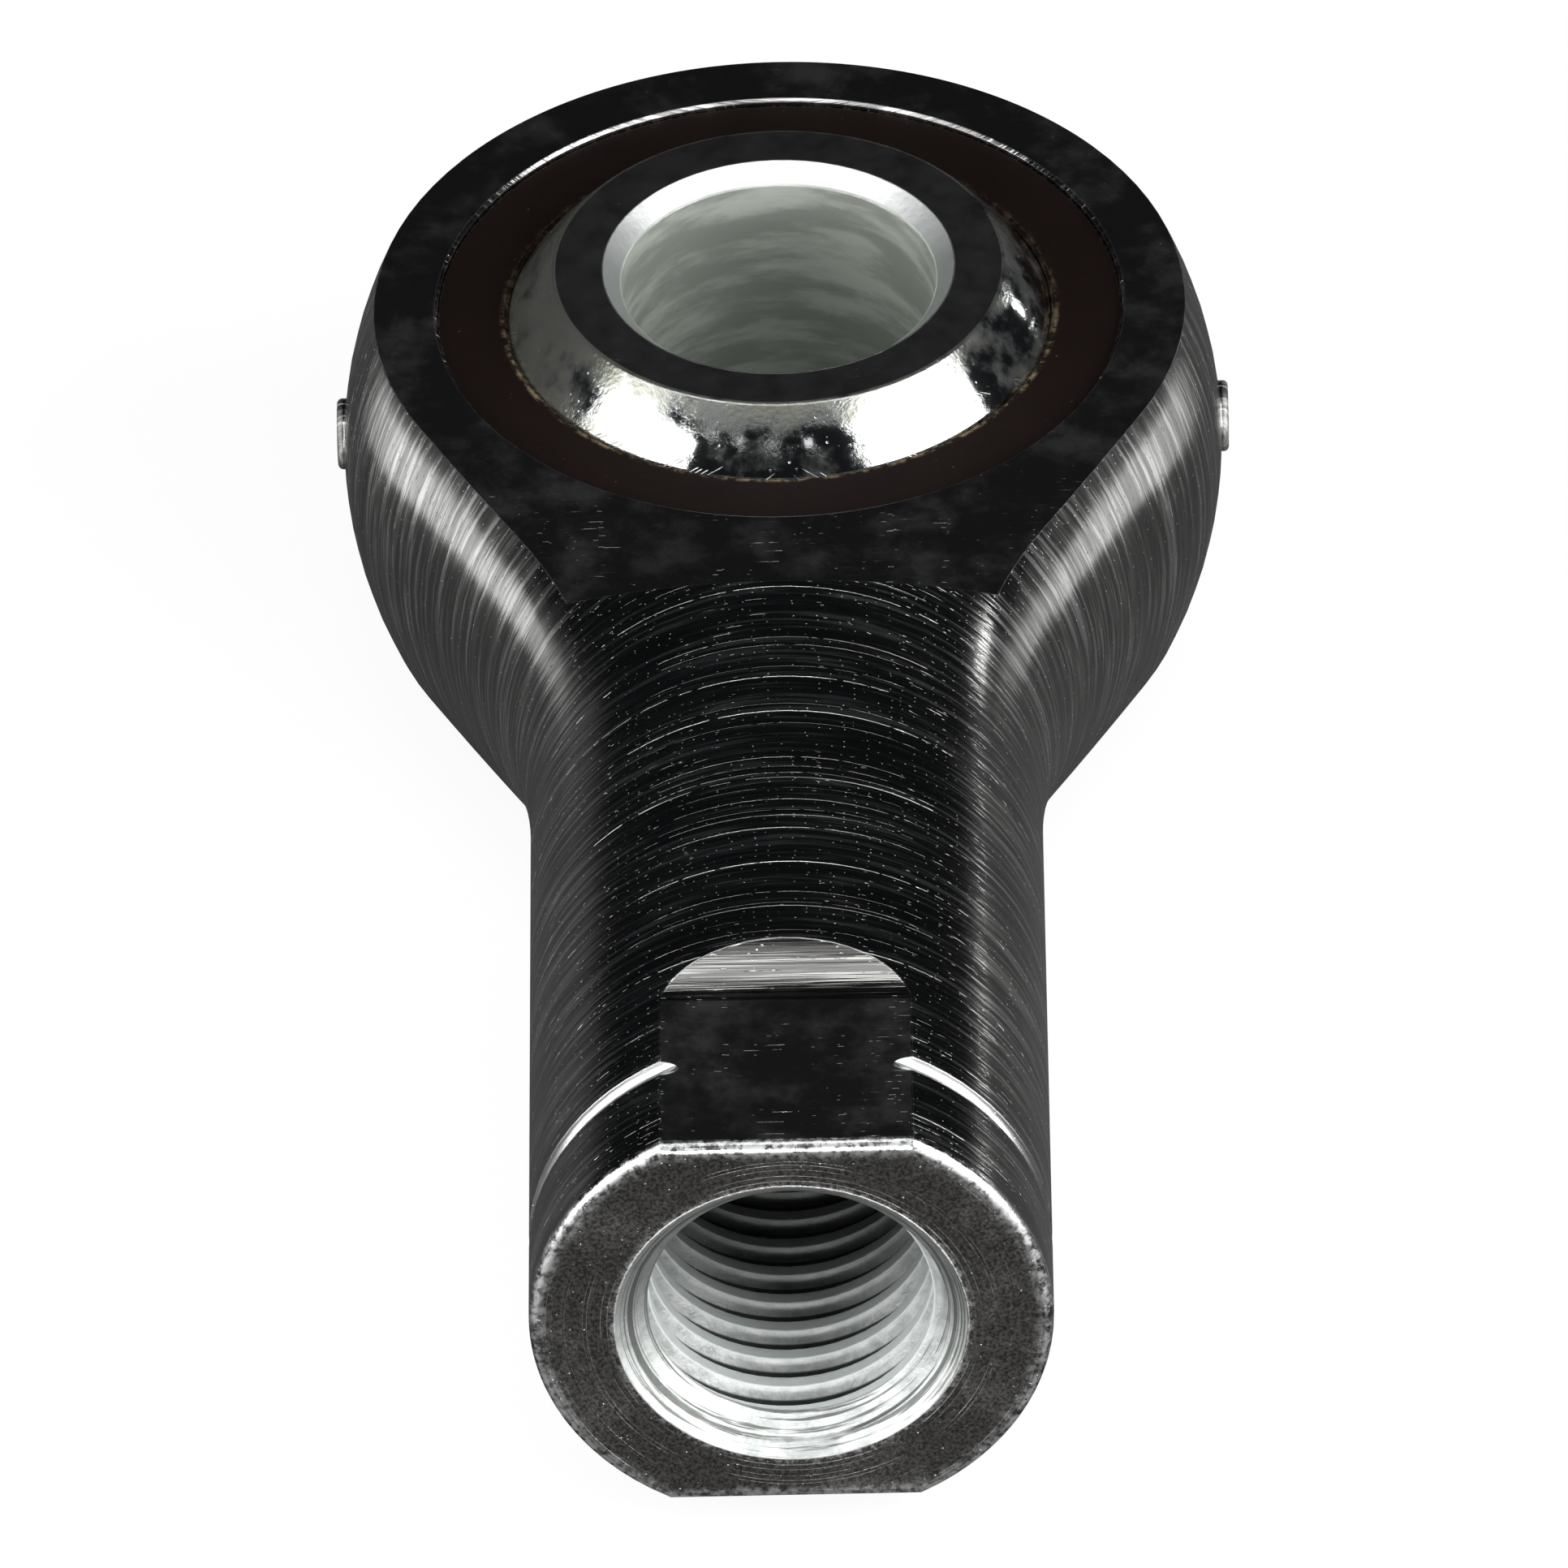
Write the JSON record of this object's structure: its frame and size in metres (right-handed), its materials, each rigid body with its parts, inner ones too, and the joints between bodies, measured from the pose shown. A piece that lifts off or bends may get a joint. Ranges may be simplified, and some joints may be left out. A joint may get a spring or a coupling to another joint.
{
  "type": "rod end bearing",
  "caption": "Female rod end bearing: a bored ball that turns and tilts in a liner race, in a round head on a tapped shank with wrench flats.",
  "frame": {"origin": "centre of the ball, on the axis of its bore", "axes": "+Z along the bore of the ball, out of one face of the head; +Y away from the shank, so the tapped shank points to -Y and the thread's axis is the Y axis; +X completes the right-handed frame"},
  "size_m": [0.0226, 0.046, 0.013],
  "materials": {
    "housing_steel": "turned and milled, bright zinc plated",
    "race_liner": "dark brown, matte, moulded",
    "ball_chrome": "hard chrome plated, polished, lightly pitted"
  },
  "bodies": {
    "head": {"housing": "housing_steel"},
    "race": {"race": "race_liner"},
    "ball": {"ball": "ball_chrome"}
  },
  "joints": [
    {"name": "ball_spin", "type": "hinge", "parent": "head", "child": "race", "pos_m": [0, 0, 0], "axis": [0, 0, 1], "continuous": true},
    {"name": "ball_tilt", "type": "hinge", "parent": "race", "child": "ball", "pos_m": [0, 0, 0], "axis": [1, 0, 0], "range_deg": [-13, 13]}
  ]
}
